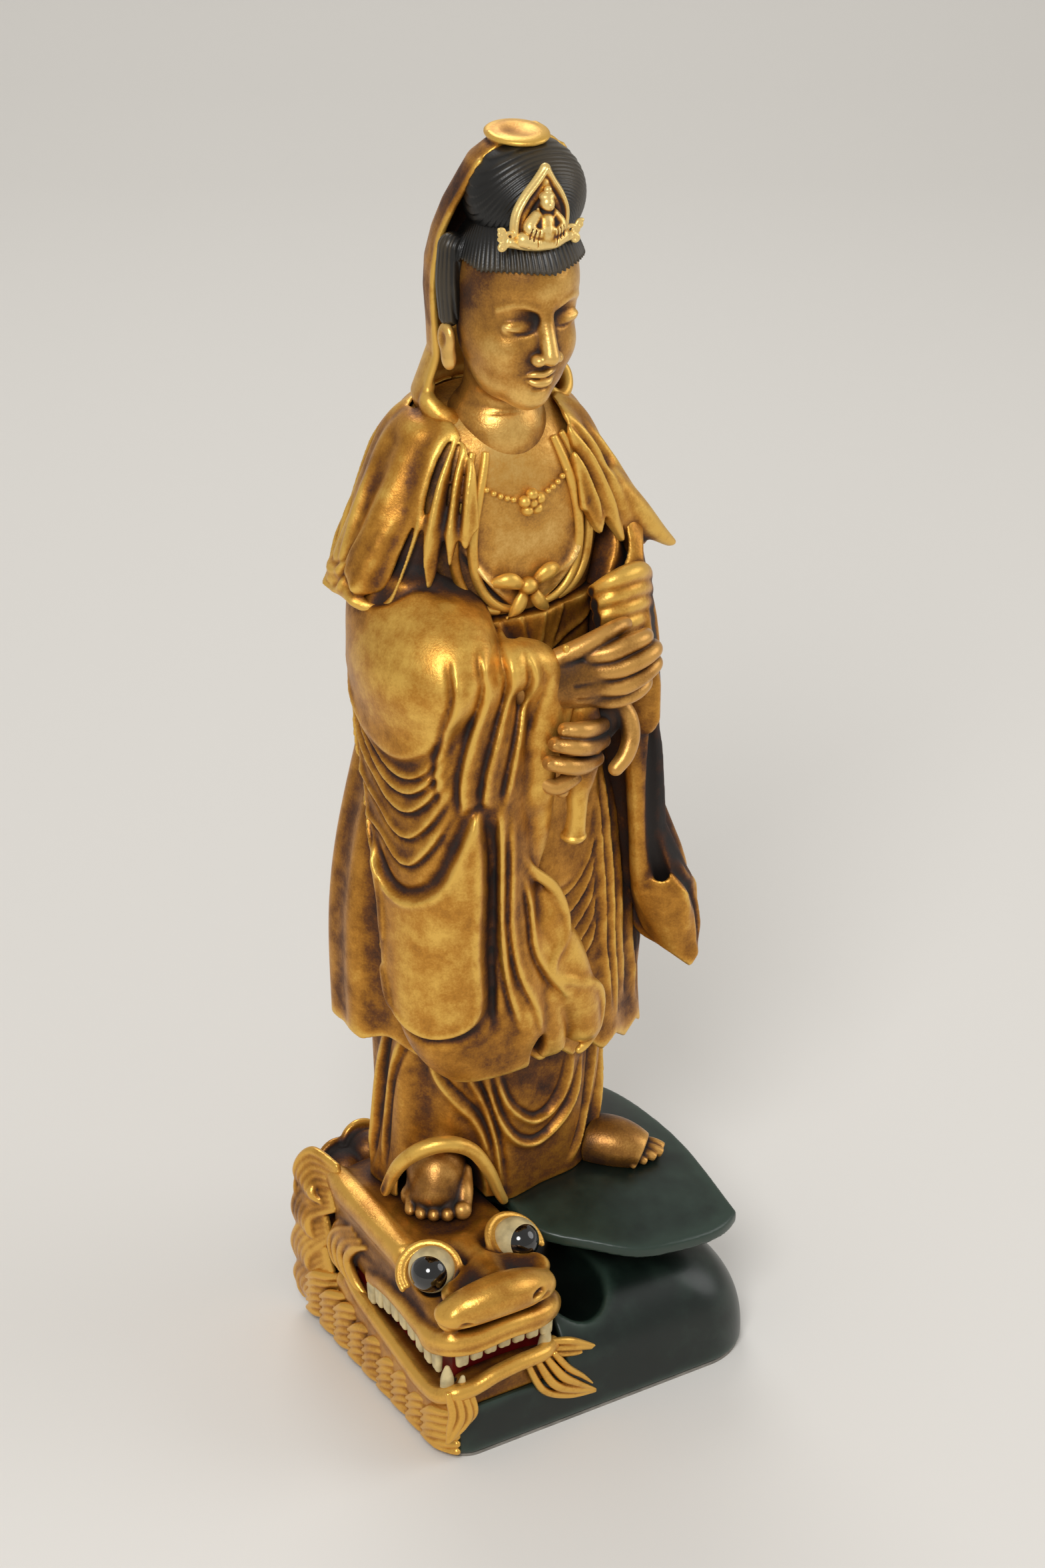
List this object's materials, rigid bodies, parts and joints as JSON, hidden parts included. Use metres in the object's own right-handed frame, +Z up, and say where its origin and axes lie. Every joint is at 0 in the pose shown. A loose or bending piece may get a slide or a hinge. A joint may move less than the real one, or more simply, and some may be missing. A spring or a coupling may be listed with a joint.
{
  "type": "carved statue",
  "caption": "Standing robed figure in gilt carved wood, holding a bottle upside down, one foot on a dragon's head and one on a leaf over a rock plinth.",
  "frame": {"origin": "centre of the plinth's underside, on the surface that the statue stands on", "axes": "+Z up, the figure faces -Y, +X is to the figure's own left"},
  "size_m": [0.2275, 0.1961, 0.75],
  "materials": {
    "robe_gilt": "carved wood under worn gold leaf, red-brown in the folds",
    "bronze_skin": "carved wood under darkened satin gold",
    "ornament_gilt": "fine carved wood under gold leaf",
    "black_hair": "carved wood with black lacquer",
    "dragon_gilt": "carved wood under glossy gold leaf",
    "mane_gilt": "carved wood under gold leaf, dark in the grooves",
    "eye_black": "glossy black",
    "bone_cream": "cream paint",
    "mouth_red": "crimson paint",
    "green_lacquer": "carved wood with dark green satin lacquer",
    "grey_felt": "felt",
    "dowel_wood": "bare wood"
  },
  "bodies": {
    "root": {"plinth_dowel_right": "dowel_wood", "plinth_dowel_left": "dowel_wood", "neck_dowel": "dowel_wood", "dragon_eye_near": "eye_black", "dragon_eye_far": "eye_black", "eye_rim_near": "bone_cream", "eye_rim_far": "bone_cream", "mouth_lining": "mouth_red", "upper_teeth": "bone_cream", "lower_fangs": "bone_cream", "dragon_skull": "dragon_gilt", "dragon_jaw": "dragon_gilt", "felt_pad": "grey_felt", "lotus_leaf": "green_lacquer", "rock_plinth": "green_lacquer", "whisker_near": "mane_gilt", "whisker_middle": "mane_gilt", "whisker_far": "mane_gilt", "dragon_mane": "mane_gilt", "dragon_mane_curls": "mane_gilt", "right_foot": "bronze_skin", "left_foot": "bronze_skin", "under_robe": "robe_gilt", "over_robe": "robe_gilt", "torso": "bronze_skin", "head": "bronze_skin", "hair_cap": "black_hair", "hair_bun": "black_hair", "hood_veil": "robe_gilt", "crown_plaque": "ornament_gilt", "plaque_figure": "ornament_gilt", "pendant": "ornament_gilt", "necklace": "ornament_gilt", "collar_outer_right": "robe_gilt", "collar_inner_right": "robe_gilt", "collar_outer_left": "robe_gilt", "collar_inner_left": "robe_gilt", "sash_knot": "robe_gilt", "vase": "ornament_gilt", "right_hand": "bronze_skin", "left_hand": "bronze_skin", "cape_right": "robe_gilt", "cape_left": "robe_gilt", "right_sleeve": "robe_gilt", "left_sleeve": "robe_gilt"}
  },
  "joints": []
}
